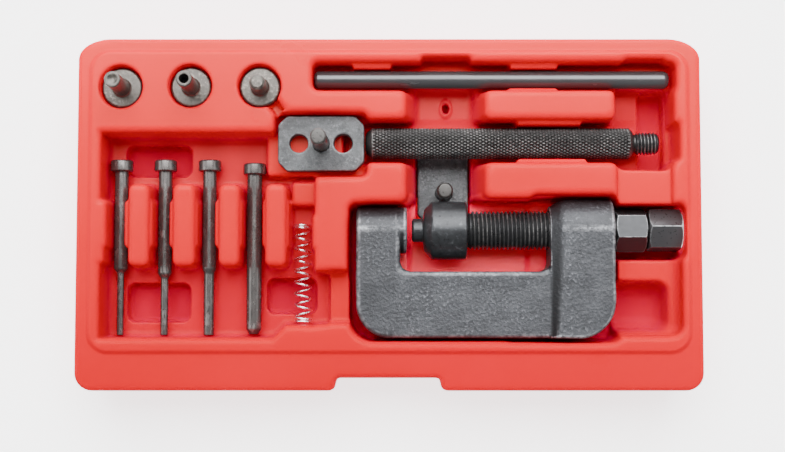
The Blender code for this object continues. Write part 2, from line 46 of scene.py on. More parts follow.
def make_mesh(name, verts, faces, mat, normals=None, smooth=True, sharp=None):
    """verts (n,3) in mm, faces: (m,4) array or list of tuples."""
    me = bpy.data.meshes.new(name)
    v = np.asarray(verts, dtype=np.float64) * MM
    if isinstance(faces, np.ndarray):
        m, k = faces.shape
        me.vertices.add(len(v))
        me.vertices.foreach_set("co", v.astype(np.float32).ravel())
        me.loops.add(m * k)
        me.loops.foreach_set("vertex_index", faces.astype(np.int32).ravel())
        me.polygons.add(m)
        me.polygons.foreach_set("loop_start", np.arange(0, m * k, k, dtype=np.int32))
        me.polygons.foreach_set("loop_total", np.full(m, k, dtype=np.int32))
        me.update(calc_edges=True)
    else:
        me.from_pydata([tuple(p) for p in v], [], faces)
        me.update()
    me.validate()
    if smooth:
        me.polygons.foreach_set("use_smooth", np.ones(len(me.polygons), dtype=bool))
    if sharp:
        me.set_sharp_from_angle(angle=radians(sharp))
    if normals is not None and len(normals) == len(me.vertices):
        me.normals_split_custom_set_from_vertices([tuple(n) for n in normals.astype(np.float32)])
    ob = bpy.data.objects.new(name, me)
    bpy.context.scene.collection.objects.link(ob)
    if mat:
        me.materials.append(mat)
    return ob


def paint(ob, name, values):
    """Stores one number per vertex for the materials."""
    at = ob.data.attributes.new(name, 'FLOAT', 'POINT')
    at.data.foreach_set("value", np.asarray(values, dtype=np.float32))


def finish_piece(ob, body, replaces=()):
    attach(ob, body)
    if replaces:
        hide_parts(*replaces)
    return ob


# --------------------------------------------------------------------------- distance fields
def smax(a, b, k):
    if k <= 0:
        return np.maximum(a, b)
    h = np.maximum(k - np.abs(a - b), 0.0) / k
    return np.maximum(a, b) + h * h * k * 0.25


def smin(a, b, k):
    return -smax(-a, -b, k)


def box2(x, y, cx, cy, hx, hy, r):
    """Distance to a rounded rectangle; hx and hy may be arrays."""
    qx = np.abs(x - cx) - hx + r
    qy = np.abs(y - cy) - hy + r
    return np.minimum(np.maximum(qx, qy), 0.0) + np.sqrt(np.maximum(qx, 0) ** 2 + np.maximum(qy, 0) ** 2) - r


def poly2(x, y, pts):
    """Signed distance to a closed polygon."""
    x, y = np.broadcast_arrays(x, y)
    d = np.full(x.shape, 1e9, dtype=np.float64)
    s = np.ones(x.shape)
    n = len(pts)
    for i in range(n):
        ax_, ay_ = pts[i]
        bx_, by_ = pts[i - 1]
        ex, ey = bx_ - ax_, by_ - ay_
        wx, wy = x - ax_, y - ay_
        t = np.clip((wx * ex + wy * ey) / (ex * ex + ey * ey), 0, 1)
        d = np.minimum(d, (wx - ex * t) ** 2 + (wy - ey * t) ** 2)
        c1 = y >= ay_
        c2 = y < by_
        c3 = ex * wy > ey * wx
        flip = (c1 & c2 & c3) | (~c1 & ~c2 & ~c3)
        s = np.where(flip, -s, s)
    return s * np.sqrt(d)


class Grid:
    def __init__(self, lo, hi, step):
        self.step = step
        self.ax = [np.arange(l - 1.5 * step, h + 2.0 * step, step, dtype=np.float32) for l, h in zip(lo, hi)]
        self.shape = tuple(len(a) for a in self.ax)

    def xyz(self, lo=None, hi=None):
        """Open coordinate arrays of the part of the grid inside the box, and its slices."""
        sl = []
        for i, a in enumerate(self.ax):
            i0 = 0 if lo is None else max(0, int(np.searchsorted(a, lo[i])) - 1)
            i1 = len(a) if hi is None else min(len(a), int(np.searchsorted(a, hi[i])) + 1)
            sl.append(slice(i0, i1))
        X = self.ax[0][sl[0]][:, None, None]
        Y = self.ax[1][sl[1]][None, :, None]
        Z = self.ax[2][sl[2]][None, None, :]
        return X, Y, Z, tuple(sl)

    def surface(self, F):
        """Naive surface nets: vertices, outward quads and normals of F = 0, F < 0 inside."""
        F = F.astype(np.float32)
        S = F < 0
        nx, ny, nz = F.shape
        c = np.zeros((nx - 1, ny - 1, nz - 1), dtype=np.uint8)
        for dx in (0, 1):
            for dy in (0, 1):
                for dz in (0, 1):
                    c += S[dx:nx - 1 + dx, dy:ny - 1 + dy, dz:nz - 1 + dz]
        mixed = (c > 0) & (c < 8)
        I, J, K = np.nonzero(mixed)
        index = np.full(mixed.shape, -1, dtype=np.int32)
        index[I, J, K] = np.arange(len(I), dtype=np.int32)
        corner = {}
        for dx in (0, 1):
            for dy in (0, 1):
                for dz in (0, 1):
                    corner[dx, dy, dz] = F[I + dx, J + dy, K + dz]
        acc = np.zeros((len(I), 3))
        cnt = np.zeros(len(I))
        for a in range(3):
            b, d = [(1, 2), (0, 2), (0, 1)][a]
            for u in (0, 1):
                for w in (0, 1):
                    p0 = [0, 0, 0]
                    p0[b], p0[d] = u, w
                    p1 = list(p0)
                    p1[a] = 1
                    f0, f1 = corner[tuple(p0)], corner[tuple(p1)]
                    hit = (f0 < 0) != (f1 < 0)
                    t = np.where(hit, f0 / np.where(hit, f0 - f1, 1.0), 0.0)
                    acc[:, a] += np.where(hit, t, 0)
                    acc[:, b] += np.where(hit, u, 0)
                    acc[:, d] += np.where(hit, w, 0)
                    cnt += hit
        acc /= cnt[:, None]
        V = np.stack([self.ax[0][I] + acc[:, 0] * self.step, self.ax[1][J] + acc[:, 1] * self.step, self.ax[2][K] + acc[:, 2] * self.step], axis=1)
        quads = []
        for a in range(3):
            sl0 = [slice(1, n - 1) for n in F.shape]
            sl1 = [slice(1, n - 1) for n in F.shape]
            sl0[a] = slice(0, F.shape[a] - 1)
            sl1[a] = slice(1, F.shape[a])
            s0, s1 = S[tuple(sl0)], S[tuple(sl1)]
            P = np.nonzero(s0 != s1)
            inside0 = s0[P]
            p = [P[i] + (0 if i == a else 1) for i in range(3)]
            b, d = [(1, 2), (2, 0), (0, 1)][a]

            def cell(ob, od):
                q = [p[0].copy(), p[1].copy(), p[2].copy()]
                q[b] = q[b] + ob
                q[d] = q[d] + od
                return index[q[0], q[1], q[2]]
            q = np.stack([cell(-1, -1), cell(0, -1), cell(0, 0), cell(-1, 0)], axis=1)
            q = np.where(inside0[:, None], q, q[:, ::-1])
            quads.append(q)
        Q = np.concatenate(quads)
        # normals from the field
        g = [np.zeros(len(V)) for _ in range(3)]
        tx = (V[:, 0] - self.ax[0][0]) / self.step
        ty = (V[:, 1] - self.ax[1][0]) / self.step
        tz = (V[:, 2] - self.ax[2][0]) / self.step

        def sample(px, py, pz):
            i = np.clip(px.astype(np.int32), 0, nx - 2)
            j = np.clip(py.astype(np.int32), 0, ny - 2)
            k = np.clip(pz.astype(np.int32), 0, nz - 2)
            fx, fy, fz = px - i, py - j, pz - k
            r = 0
            for dx in (0, 1):
                for dy in (0, 1):
                    for dz in (0, 1):
                        r = r + F[i + dx, j + dy, k + dz] * (fx if dx else 1 - fx) * (fy if dy else 1 - fy) * (fz if dz else 1 - fz)
            return r
        h = 0.6
        g[0] = sample(tx + h, ty, tz) - sample(tx - h, ty, tz)
        g[1] = sample(tx, ty + h, tz) - sample(tx, ty - h, tz)
        g[2] = sample(tx, ty, tz + h) - sample(tx, ty, tz - h)
        N = np.stack(g, axis=1)
        N /= np.maximum(np.linalg.norm(N, axis=1), 1e-9)[:, None]
        h = 1.5
        lap = -6.0 * sample(tx, ty, tz)
        for dx, dy, dz in ((h, 0, 0), (-h, 0, 0), (0, h, 0), (0, -h, 0), (0, 0, h), (0, 0, -h)):
            lap = lap + sample(tx + dx, ty + dy, tz + dz)
        self.curv = lap / (h * self.step) ** 2
        return V, Q, N


def waves(seed, count, lo, hi):
    """Smooth pseudo-random field as a sum of plane waves; returns a function of x, y, z in mm."""
    rng = np.random.RandomState(seed)
    k = []
    for _ in range(count):
        w = 2 * pi / rng.uniform(lo, hi)
        v = rng.normal(size=3)
        v = v / np.linalg.norm(v) * w
        k.append((v, rng.uniform(0, 2 * pi)))

    def f(x, y, z):
        r = 0
        for v, ph in k:
            r = r + np.sin(v[0] * x + v[1] * y + v[2] * z + ph)
        return r / sqrt(count)
    return f


# --------------------------------------------------------------------------- turned shapes
def fillet(pts, radii, n=4):
    """Rounds the corners of an open profile; radii per point (0 keeps the corner)."""
    out = []
    for i, (p, r) in enumerate(zip(pts, radii)):
        if r <= 0 or i == 0 or i == len(pts) - 1:
            out.append(p)
            continue
        a = np.array(pts[i - 1], float)
        b = np.array(p, float)
        c = np.array(pts[i + 1], float)
        u = (a - b) / np.linalg.norm(a - b)
        w = (c - b) / np.linalg.norm(c - b)
        s = b + u * r
        e = b + w * r
        for t in np.linspace(0, 1, n + 1):
            q = (1 - t) ** 2 * s + 2 * t * (1 - t) * b + t * t * e
            out.append((float(q[0]), float(q[1])))
    return out


def revolve(profile, n=96, closed=False):
    """profile: (radius, height) from the bottom up on the outside. Returns verts, faces about +Z."""
    verts, rings = [], []
    for r, z in profile:
        if r < 1e-6:
            rings.append([len(verts)] * n)
            verts.append((0, 0, z))
        else:
            rings.append(list(range(len(verts), len(verts) + n)))
            verts += [(r * cos(2 * pi * i / n), r * sin(2 * pi * i / n), z) for i in range(n)]
    faces = []
    m = len(rings)
    for j in range(m if closed else m - 1):
        a, b = rings[j], rings[(j + 1) % m]
        for i in range(n):
            q = [a[i], a[(i + 1) % n], b[(i + 1) % n], b[i]]
            u = []
            for k in q:
                if k not in u:
                    u.append(k)
            if len(u) > 2:
                faces.append(tuple(u))
    return np.array(verts, float), faces


def lay(verts, axis, origin):
    """Turns local +Z onto axis ('x', '-y', 'z') and moves to origin."""
    v = np.asarray(verts, float)
    if axis == 'x':
        v = np.stack([v[:, 2], v[:, 1], -v[:, 0]], axis=1)
    elif axis == '-y':
        v = np.stack([v[:, 0], -v[:, 2], v[:, 1]], axis=1)
    return v + np.array(origin, float)


def screw_thread(x0, x1, r_major, depth, pitch, n=96, per=8, entry=1.6, exit_=1.6, phase=0.0, r_end0=None, r_end1=None, hand=1):
    """Right-hand thread about +Z from x0 to x1, with run-out at both ends; open tube, verts and quads.
    The flanks follow a rounded 60 degree profile."""
    prof_t = np.linspace(0, 1, per, endpoint=False)
    npitch = int(math.ceil((x1 - x0) / pitch)) + 2
    verts = []
    # columns by angle, rows by profile index
    rows = npitch * per + 1
    th = np.linspace(0, 2 * pi, n, endpoint=False)
    T, R = np.meshgrid(th, np.arange(rows))
    xx = x0 - pitch + R * pitch / per + hand * pitch * T / (2 * pi)
    tri = np.abs(((R / per) % 1.0) - 0.5) * 2.0          # 0 at the root, 1 at the crest
    shape = np.clip((tri - 0.12) / 0.72, 0, 1)
    shape = shape * shape * (3 - 2 * shape) * 0.35 + shape * 0.65
    rr = r_major - depth * (1 - shape)
    xc = np.clip(xx, x0, x1)
    e0 = np.clip((xc - x0) / entry, 0, 1)
    e1 = np.clip((x1 - xc) / exit_, 0, 1)
    lim0 = (r_end0 if r_end0 is not None else r_major - depth) + (r_major + 0.02 - (r_end0 if r_end0 is not None else r_major - depth)) * e0
    lim1 = (r_end1 if r_end1 is not None else r_major - depth) + (r_major + 0.02 - (r_end1 if r_end1 is not None else r_major - depth)) * e1
    rr = np.minimum(rr, np.minimum(lim0, lim1))
    V = np.stack([rr * np.cos(T), rr * np.sin(T), xc], axis=2).reshape(-1, 3)
    faces = []
    idx = np.arange(rows * n).reshape(rows, n)
    a = idx[:-1, :-1].ravel()
    b = idx[:-1, 1:].ravel()
    c = idx[1:, 1:].ravel()
    d = idx[1:, :-1].ravel()
    Q = [np.stack([a, b, c, d], axis=1)]
    # seam: angle 2 pi of row r meets angle 0 of row r + per
    r = np.arange(0, rows - 1 - per)
    Q.append(np.stack([idx[r, n - 1], idx[r + per, 0], idx[r + per + 1, 0], idx[r + 1, n - 1]], axis=1))
    Q = np.concatenate(Q)
    # drop quads squeezed flat by the clamping
    zz = V[:, 2][Q]
    keep = (zz.max(axis=1) - zz.min(axis=1) > 1e-5)
    return V, Q[keep]


def join(*parts):
    verts, faces, off = [], [], 0
    for v, f in parts:
        v = np.asarray(v, float)
        verts.append(v)
        faces += [tuple(int(i) + off for i in q) for q in f]
        off += len(v)
    return np.concatenate(verts), faces


# =========================================================================== materials
def nodes_of(name):
    m = bpy.data.materials.new(name)
    m.use_nodes = True
    nt = m.node_tree
    return m, nt, nt.nodes["Principled BSDF"]


def N(nt, kind, **kw):
    n = nt.nodes.new(kind)
    for k, v in kw.items():
        if k.startswith("i_"):
            key = k[2:]
            key = int(key) if key.isdigit() else key.replace("_", " ")
            n.inputs[key].default_value = v
        else:
            setattr(n, k, v)
    return n


def ramp(nt, src, stops):
    r = nt.nodes.new("ShaderNodeValToRGB")
    e = r.color_ramp.elements
    e[0].position, e[0].color = stops[0][0], stops[0][1]
    e[1].position, e[1].color = stops[-1][0], stops[-1][1]
    for p, c in stops[1:-1]:
        q = e.new(p)
        q.color = c
    nt.links.new(src, r.inputs[0])
    return r


def grey(v):
    return (v, v, v, 1.0)


def tray_material():
    m, nt, b = nodes_of("red_moulding")
    L = nt.links.new
    tc = N(nt, "ShaderNodeTexCoord")
    n1 = N(nt, "ShaderNodeTexNoise", i_Scale=14.0, i_Detail=3.0, i_Roughness=0.5)
    L(tc.outputs["Object"], n1.inputs["Vector"])
    cr = ramp(nt, n1.outputs["Fac"], [(0.3, (0.54, 0.0018, 0.008, 1)), (0.7, (0.60, 0.0022, 0.011, 1))])
    n2 = N(nt, "ShaderNodeTexNoise", i_Scale=55.0, i_Detail=4.0, i_Roughness=0.6)
    L(tc.outputs["Object"], n2.inputs["Vector"])
    rr = ramp(nt, n2.outputs["Fac"], [(0.3, grey(0.27)), (0.7, grey(0.34))])
    L(rr.outputs[0], b.inputs["Roughness"])
    xyz = N(nt, "ShaderNodeSeparateXYZ")
    L(tc.outputs["Object"], xyz.inputs[0])

    # painted light and shade multiplied into the base colour, and painted sheen added to the specular level, both from
    # attributes painted on the mesh
    painted_light_shade = N(nt, "ShaderNodeAttribute", attribute_name="painted_light_shade")
    painted_sheen = N(nt, "ShaderNodeAttribute", attribute_name="painted_sheen")
    geo = N(nt, "ShaderNodeNewGeometry")
    nz = N(nt, "ShaderNodeSeparateXYZ")
    L(geo.outputs["Normal"], nz.inputs[0])
    # painted shade tint: walls lower than about 24 mm and floors below about 12 mm get a bluer base colour, as the
    # shaded pockets look
    wall = ramp(nt, nz.outputs[2], [(0.30, grey(1.0)), (0.95, grey(0.0))])
    dz = ramp(nt, xyz.outputs[2], [(0.0110, grey(1.0)), (0.0128, grey(0.0))])
    md = N(nt, "ShaderNodeMix", data_type='RGBA')
    L(dz.outputs[0], md.inputs[0])
    L(cr.outputs[0], md.inputs[6])
    md.inputs[7].default_value = (0.57, 0.0012, 0.034, 1)
    mw = N(nt, "ShaderNodeMix", data_type='RGBA')
    L(wall.outputs[0], mw.inputs[0])
    L(md.outputs[2], mw.inputs[6])
    wall_shade_tint = ramp(nt, xyz.outputs[2], [(0.0140, (0.57, 0.0010, 0.034, 1)), (0.0240, (0.56, 0.0014, 0.010, 1))])
    L(wall_shade_tint.outputs[0], mw.inputs[7])
    mt = N(nt, "ShaderNodeVectorMath", operation='SCALE')
    L(mw.outputs[2], mt.inputs[0])
    L(painted_light_shade.outputs["Fac"], mt.inputs["Scale"])
    L(mt.outputs[0], b.inputs["Base Color"])
    # painted sheen: the specular level stands in for the reflection of the overhead light, none deep in the pockets
    # where it would be shaded, weaker towards the front (-Y) and on the walls, plus the painted sheen attribute
    zs = ramp(nt, xyz.outputs[2], [(0.0070, grey(0.0)), (0.0100, grey(0.03)), (0.0130, grey(0.18)), (0.024, grey(0.165)), (0.030, grey(0.165))])
    yr = N(nt, "ShaderNodeMapRange")
    L(xyz.outputs[1], yr.inputs["Value"])
    yr.inputs["From Min"].default_value = -0.060
    yr.inputs["From Max"].default_value = 0.060
    yr.inputs["To Min"].default_value = 0.25
    yr.inputs["To Max"].default_value = 1.25
    ms = N(nt, "ShaderNodeMath", operation='MULTIPLY_ADD')
    L(zs.outputs[0], ms.inputs[0])
    L(yr.outputs[0], ms.inputs[1])
    L(painted_sheen.outputs["Fac"], ms.inputs[2])
    wm = N(nt, "ShaderNodeMapRange")
    L(wall.outputs[0], wm.inputs["Value"])
    wm.inputs["To Min"].default_value = 1.0
    wm.inputs["To Max"].default_value = 0.12
    mm = N(nt, "ShaderNodeMath", operation='MULTIPLY')
    L(ms.outputs[0], mm.inputs[0])
    L(wm.outputs[0], mm.inputs[1])
    L(mm.outputs[0], b.inputs["Specular IOR Level"])
    b.inputs["Specular Tint"].default_value = (1.0, 0.91, 0.60, 1.0)
    b.inputs["IOR"].default_value = 1.5
    b.inputs["Subsurface Weight"].default_value = 0.30
    b.inputs["Subsurface Radius"].default_value = (1.0, 0.10, 0.12)
    b.inputs["Subsurface Scale"].default_value = 0.005
    # fine grain and slow waviness of the blown skin
    g = N(nt, "ShaderNodeTexNoise", i_Scale=900.0, i_Detail=2.0)
    L(tc.outputs["Object"], g.inputs["Vector"])
    w = N(nt, "ShaderNodeTexNoise", i_Scale=60.0, i_Detail=2.0)
    L(tc.outputs["Object"], w.inputs["Vector"])
    b1 = N(nt, "ShaderNodeBump", i_Strength=0.25, i_Distance=0.0001)
    L(g.outputs["Fac"], b1.inputs["Height"])
    b2 = N(nt, "ShaderNodeBump", i_Strength=0.35, i_Distance=0.0004)
    L(w.outputs["Fac"], b2.inputs["Height"])
    L(b1.outputs[0], b2.inputs["Normal"])
    L(b2.outputs[0], b.inputs["Normal"])
    return m


def steel_material(name, base, rough, spread=0.25, grain=500.0, bump=0.15, bump_d=0.00006, metal=0.6, blotch=40.0, stretch=(1, 1, 1), speck=None, edge=None, scale=False):
    """Black-oxide steel: blotchy oxide and fine grain; speck is (share, gain) of bright grains, edge the colour of
    rubbed edges and, on the frame, of a painted highlight line; the last flag darkens the colour by a painted shade
    attribute.
    """
    m, nt, b = nodes_of(name)
    L = nt.links.new
    tc = N(nt, "ShaderNodeTexCoord")
    mp = N(nt, "ShaderNodeMapping")
    mp.inputs["Scale"].default_value = stretch
    L(tc.outputs["Object"], mp.inputs["Vector"])
    n1 = N(nt, "ShaderNodeTexNoise", i_Scale=blotch, i_Detail=5.0, i_Roughness=0.6)
    L(mp.outputs[0], n1.inputs["Vector"])
    lo = tuple(c * (1 - spread) for c in base) + (1,)
    hi = tuple(c * (1 + spread) for c in base) + (1,)
    cr = ramp(nt, n1.outputs["Fac"], [(0.32, lo), (0.68, hi)])
    col = cr.outputs[0]
    n2 = N(nt, "ShaderNodeTexNoise", i_Scale=grain, i_Detail=3.0, i_Roughness=0.6)
    L(mp.outputs[0], n2.inputs["Vector"])

    def mix(fac, a, rgb):
        mx = N(nt, "ShaderNodeMix", data_type='RGBA')
        L(fac, mx.inputs[0])
        L(a, mx.inputs[6])
        mx.inputs[7].default_value = tuple(rgb) + (1,)
        return mx.outputs[2]
    if speck:
        dark = ramp(nt, n2.outputs["Fac"], [(0.30, grey(0.7)), (0.44, grey(0.0))])
        col = mix(dark.outputs[0], col, [c * 0.45 for c in base])
        lite = ramp(nt, n2.outputs["Fac"], [(speck[0], grey(0.0)), (speck[0] + 0.14, grey(1.0))])
        n3 = N(nt, "ShaderNodeTexNoise", i_Scale=75.0, i_Detail=2.0, i_Roughness=0.5)
        L(tc.outputs["Object"], n3.inputs["Vector"])
        area_ = ramp(nt, n3.outputs["Fac"], [(0.42, grey(0.25)), (0.60, grey(1.0))])
        ma = N(nt, "ShaderNodeMath", operation='MULTIPLY')
        L(lite.outputs[0], ma.inputs[0])
        L(area_.outputs[0], ma.inputs[1])
        col = mix(ma.outputs[0], col, [c * speck[1] for c in base])
    # painted shade: darkens the base colour where the mesh's attribute marks shade
    if scale:
        sc = N(nt, "ShaderNodeAttribute")
        sc.attribute_name = "scale"
        col = mix(sc.outputs["Fac"], col, [c * 0.4 for c in base])
    if edge:
        at = N(nt, "ShaderNodeAttribute", attribute_name="edge")
        wn = N(nt, "ShaderNodeTexNoise", i_Scale=700.0, i_Detail=3.0, i_Roughness=0.7)
        L(tc.outputs["Object"], wn.inputs["Vector"])
        wr = ramp(nt, wn.outputs["Fac"], [(0.36, grey(0.10)), (0.60, grey(1.0))])
        wn2 = N(nt, "ShaderNodeTexNoise", i_Scale=110.0, i_Detail=2.0, i_Roughness=0.5)
        L(tc.outputs["Object"], wn2.inputs["Vector"])
        wr2 = ramp(nt, wn2.outputs["Fac"], [(0.40, grey(0.25)), (0.60, grey(1.0))])
        m0 = N(nt, "ShaderNodeMath", operation='MULTIPLY')
        L(wr.outputs[0], m0.inputs[0])
        L(wr2.outputs[0], m0.inputs[1])
        ml = N(nt, "ShaderNodeMath", operation='MULTIPLY')
        L(at.outputs["Fac"], ml.inputs[0])
        L(m0.outputs[0], ml.inputs[1])
        col = mix(ml.outputs[0], col, edge)
    L(col, b.inputs["Base Color"])
    b.inputs["Metallic"].default_value = metal
    rr = ramp(nt, n2.outputs["Fac"], [(0.3, grey(rough * 0.85)), (0.7, grey(min(1.0, rough * 1.2)))])
    L(rr.outputs[0], b.inputs["Roughness"])
    b1 = N(nt, "ShaderNodeBump", i_Strength=bump, i_Distance=bump_d)
    L(n2.outputs["Fac"], b1.inputs["Height"])
    L(b1.outputs[0], b.inputs["Normal"])
    return m


M_TRAY = tray_material()
M_FRAME = steel_material("forged_black", (0.046, 0.048, 0.053), 0.45, 0.24, 1000.0, 0.8, 0.00024, blotch=170.0, speck=(0.55, 2.9), edge=(0.34, 0.35, 0.37), scale=True)
M_BOLT = steel_material("black_oxide_bolt", (0.036, 0.036, 0.038), 0.30, 0.2, 500.0, 0.1, edge=(0.22, 0.215, 0.21))
M_OX = steel_material("black_oxide", (0.064, 0.061, 0.058), 0.30, 0.30, 700.0, 0.2, speck=(0.56, 1.8))
M_DISC = steel_material("black_oxide_disc", (0.084, 0.077, 0.068), 0.34, 0.36, 900.0, 0.6, speck=(0.52, 2.5))
M_OXL = steel_material("black_oxide_lever", (0.078, 0.079, 0.083), 0.23, 0.22, 500.0, 0.12, stretch=(0.2, 1, 1))
M_NOSE = steel_material("black_oxide_nose", (0.036, 0.038, 0.041), 0.32, 0.35, 600.0, 0.4, 0.0001, speck=(0.55, 2.4), edge=(0.20, 0.20, 0.21))
M_KNURL = steel_material("black_oxide_knurl", (0.022, 0.021, 0.021), 0.36, 0.25, 500.0, 0.12, edge=(0.19, 0.185, 0.18))
M_PIN = steel_material("black_oxide_pin", (0.100, 0.094, 0.091), 0.25, 0.34, 600.0, 0.3, metal=0.75, blotch=90.0, stretch=(1, 0.35, 1), speck=(0.57, 2.4))
M_PLATE = steel_material("grey_steel", (0.070, 0.073, 0.076), 0.46, 0.36, 1000.0, 0.8, 0.00018, blotch=200.0, speck=(0.52, 2.4), edge=(0.28, 0.29, 0.30))
M_HEX = steel_material("black_oxide_hex", (0.035, 0.036, 0.039), 0.36, 0.15, 700.0, 0.15, edge=(0.36, 0.37, 0.38))
M_HEX2 = steel_material("black_oxide_hex_large", (0.075, 0.075, 0.079), 0.30, 0.18, 700.0, 0.2, edge=(0.36, 0.37, 0.38))
M_ZINC = steel_material("zinc_wire", (0.85, 0.85, 0.87), 0.25, 0.1, 500.0, 0.05, metal=1.0)

# =========================================================================== the tray
TOPZ, FLZ = 30.0, 29.0
AXY, AXZ = -5.5, 18.5


def build_tray():
    step = 0.5
    G = Grid((-111.9, -63.4, -0.2), (111.9, 63.4, 30.2), step)
    X, Y, Z, _ = G.xyz()
    # outer body: leaning wall, corner radii by quadrant
    lean = np.clip((FLZ - Z) / FLZ, 0, 1) * 3.0
    # outline with individual corners as the intersection of a rectangle and corner circles
    hx, hy = 111.5 - lean, 63.0 - lean
    base = np.maximum(np.abs(X) - hx, np.abs(Y) - hy)

    def corner(sx, sy, ca, cb):
        qx = np.maximum((sx * X - hx + ca) / ca, 0)
        qy = np.maximum((sy * Y - hy + cb) / cb, 0)
        q = np.sqrt(qx ** 2 + qy ** 2)
        d = (q - 1) * q / np.maximum(np.sqrt((qx / ca) ** 2 + (qy / cb) ** 2), 1e-6)
        return np.where((qx > 0) & (qy > 0), d, -1e3)
    for sx, sy, ca, cb in ((-1, 1, 12.0, 7.6), (1, 1, 12.0, 7.6), (-1, -1, 6.5, 6.5), (1, -1, 6.5, 6.5)):
        base = np.maximum(base, corner(sx, sy, ca, cb))
    nx0, nx1, nd = -18.8, 18.1, 4.7
    notch = box2(X, Y, (nx0 + nx1) / 2, -63.0, (nx1 - nx0) / 2, nd, 1.6)
    base = smax(base, -notch, 3.0)
    panel = box2(X, Y, 0.0, 4.4, 106.4, 53.6, 7.0)
    # the rim steps up softly to the inner panel
    t = np.clip(0.5 - panel / 1.6, 0, 1)
    t = t * t * (3 - 2 * t)
    top = FLZ + (TOPZ - FLZ) * t
    F = smax(base, Z - top, 2.2)
    F = smax(F, -Z, 2.0)
    F = F.astype(np.float32)

    P = np.full(G.shape, 50.0, dtype=np.float32)

    def pocket(x0, y0, x1, y1, floor, r=3.0, draft=2.0, kf=2.0, ku=1.2):
        m = 8.0
        X, Y, Z, sl = G.xyz((x0 - m, y0 - m, floor - m), (x1 + m, y1 + m, 99))
        g = (Z - TOPZ) * tan(radians(draft))
        d = box2(X, Y, (x0 + x1) / 2, (y0 + y1) / 2, (x1 - x0) / 2 + g, (y1 - y0) / 2 + g, r)
        d = smax(d, floor - Z, kf)
        P[sl] = smin(P[sl], d, ku)

    def pocket_poly(pts, floor, draft=2.0, kf=2.0, ku=1.2):
        xs = [p[0] for p in pts]
        ys = [p[1] for p in pts]
        m = 8.0
        X, Y, Z, sl = G.xyz((min(xs) - m, min(ys) - m, floor - m), (max(xs) + m, max(ys) + m, 99))
        d2 = poly2(X, Y, pts)
        d = d2 - (Z - TOPZ) * tan(radians(draft))
        d = smax(d, floor - Z, kf)
        P[sl] = smin(P[sl], d, ku)

    def block(x0, y0, x1, y1, foot, top, r=2.5, draft=2.0, kf=2.0, kt=2.4):
        m = 8.0
        X, Y, Z, sl = G.xyz((x0 - m, y0 - m, foot - m), (x1 + m, y1 + m, 99))
        g = (TOPZ - Z) * tan(radians(draft))
        d = box2(X, Y, (x0 + x1) / 2, (y0 + y1) / 2, (x1 - x0) / 2 + g, (y1 - y0) / 2 + g, r)
        if top < TOPZ:
            d = smax(d, Z - top, kt)
        P[sl] = smax(P[sl], -d, kf)

    PF = 13.0
    pocket_poly([(-102.6, 28.9), (-102.6, -44.3), (-41.2, -44.3), (-36.7, -39.8), (-26.4, -39.8), (-26.4, 28.9)], PF, kf=2.4)
    pocket(-30.0, -39.6, -20.8, -20.5, PF, 2.0)
    pocket(-14.5, -45.6, 82.1, 3.8, 9.7, 9.0)
    pocket(-14.5, -25.0, 82.1, 3.8, 9.7, 3.0)
    pocket(40.0, -45.6, 82.1, 3.8, 9.7, 4.0)
    pocket(50.0, -45.4, 82.0, 6.7, 6.95, 3.0)
    pocket(7.0, -24.0, 60.0, 5.3, 7.6, 3.0, draft=0.1)
    pocket(80.0, -43.4, 103.9, 2.7, 20.0, 4.0, kf=6.0)
    pocket(79.0, -16.6, 105.5, 3.5, 9.0, 3.0)
    pocket(71.0, -43.3, 101.5, -22.4, 8.0, 4.0, draft=7.0, kf=5.0)
    pocket(-27.5, 44.0, 102.6, 54.4, 18.7, 2.5, ku=2.0)
    pocket(11.4, 50.0, 29.2, 56.2, 18.7, 1.5)
    pocket(83.8, 50.0, 99.1, 55.4, 18.7, 1.5)
    pocket(-10.6, 18.1, 99.2, 33.7, 14.1, 2.0, ku=3.0)
    pocket(5.8, -6.0, 34.4, 51.3, 13.0, 2.5, draft=14.0, ku=3.0)
    pocket(9.0, -7.0, 30.4, 30.6, 3.6, 1.5, ku=0.6)
    pocket(80.6, 15.45, 101.7, 47.0, 13.4, 4.0, ku=2.6)
    pocket(84.0, 18.5, 103.6, 32.8, 13.9, 2.0, ku=0.8)
    pocket(90.6, 15.6, 101.1, 46.6, 6.4, 2.5, ku=0.8)
    pocket(81.2, 1.5, 100.7, 18.3, 27.0, 1.5, kf=1.0, ku=0.8)
    pocket(-40.9, 13.0, -7.8, 36.1, 19.2, 2.5, ku=2.0)
    pocket(-97.0, 13.9, -71.8, 26.6, 6.5, 3.0, ku=0.5)
    pocket(-96.1, -39.2, -71.8, -23.7, 6.5, 3.0, ku=0.5)
    pocket(-45.2, -36.2, -25.7, -21.9, 6.5, 3.0, ku=0.5)
    pocket(-17.0, 20.0, -6.0, 31.5, 14.1, 2.0)
    pocket_poly([(-44.1, 39.5), (-40.5, 34.8), (-37.3, 37.2), (-40.9, 41.9)], 22.7, kf=1.0, ku=0.8)
    for ix0, ix1, bx0, bx1 in ((-92.6, -85.2, -94.15, -84.35), (-76.8, -68.9, -78.15, -68.35), (-60.5, -53.1, -61.95, -52.6), (-44.0, -36.5, -45.0, -35.8)):
        block(ix0, -18.8, ix1, 10.4, PF - 1, 99)
        block(bx0, -12.0, bx1, 4.8, PF - 1, 27.5, 1.6, kf=1.2, kt=1.2)
    block(-108.0, -12.2, -100.4, 4.8, PF - 1, 99, 1.5, kf=1.2)
    block(-108.0, -17.6, -101.2, -8.0, PF - 1, 99, 1.0, kf=1.2)
    block(-27.2, -12.8, -18.0, -0.7, PF - 1, 99, 1.5, kf=1.2)
    block(-34.8, 3.9, -25.0, 11.7, PF - 1, 20.0, 1.5, kf=1.2, kt=1.4)
    block(-43.9, 14.6, -25.0, 30.5, PF - 1, 19.15, 1.5, kf=1.2, kt=1.4)
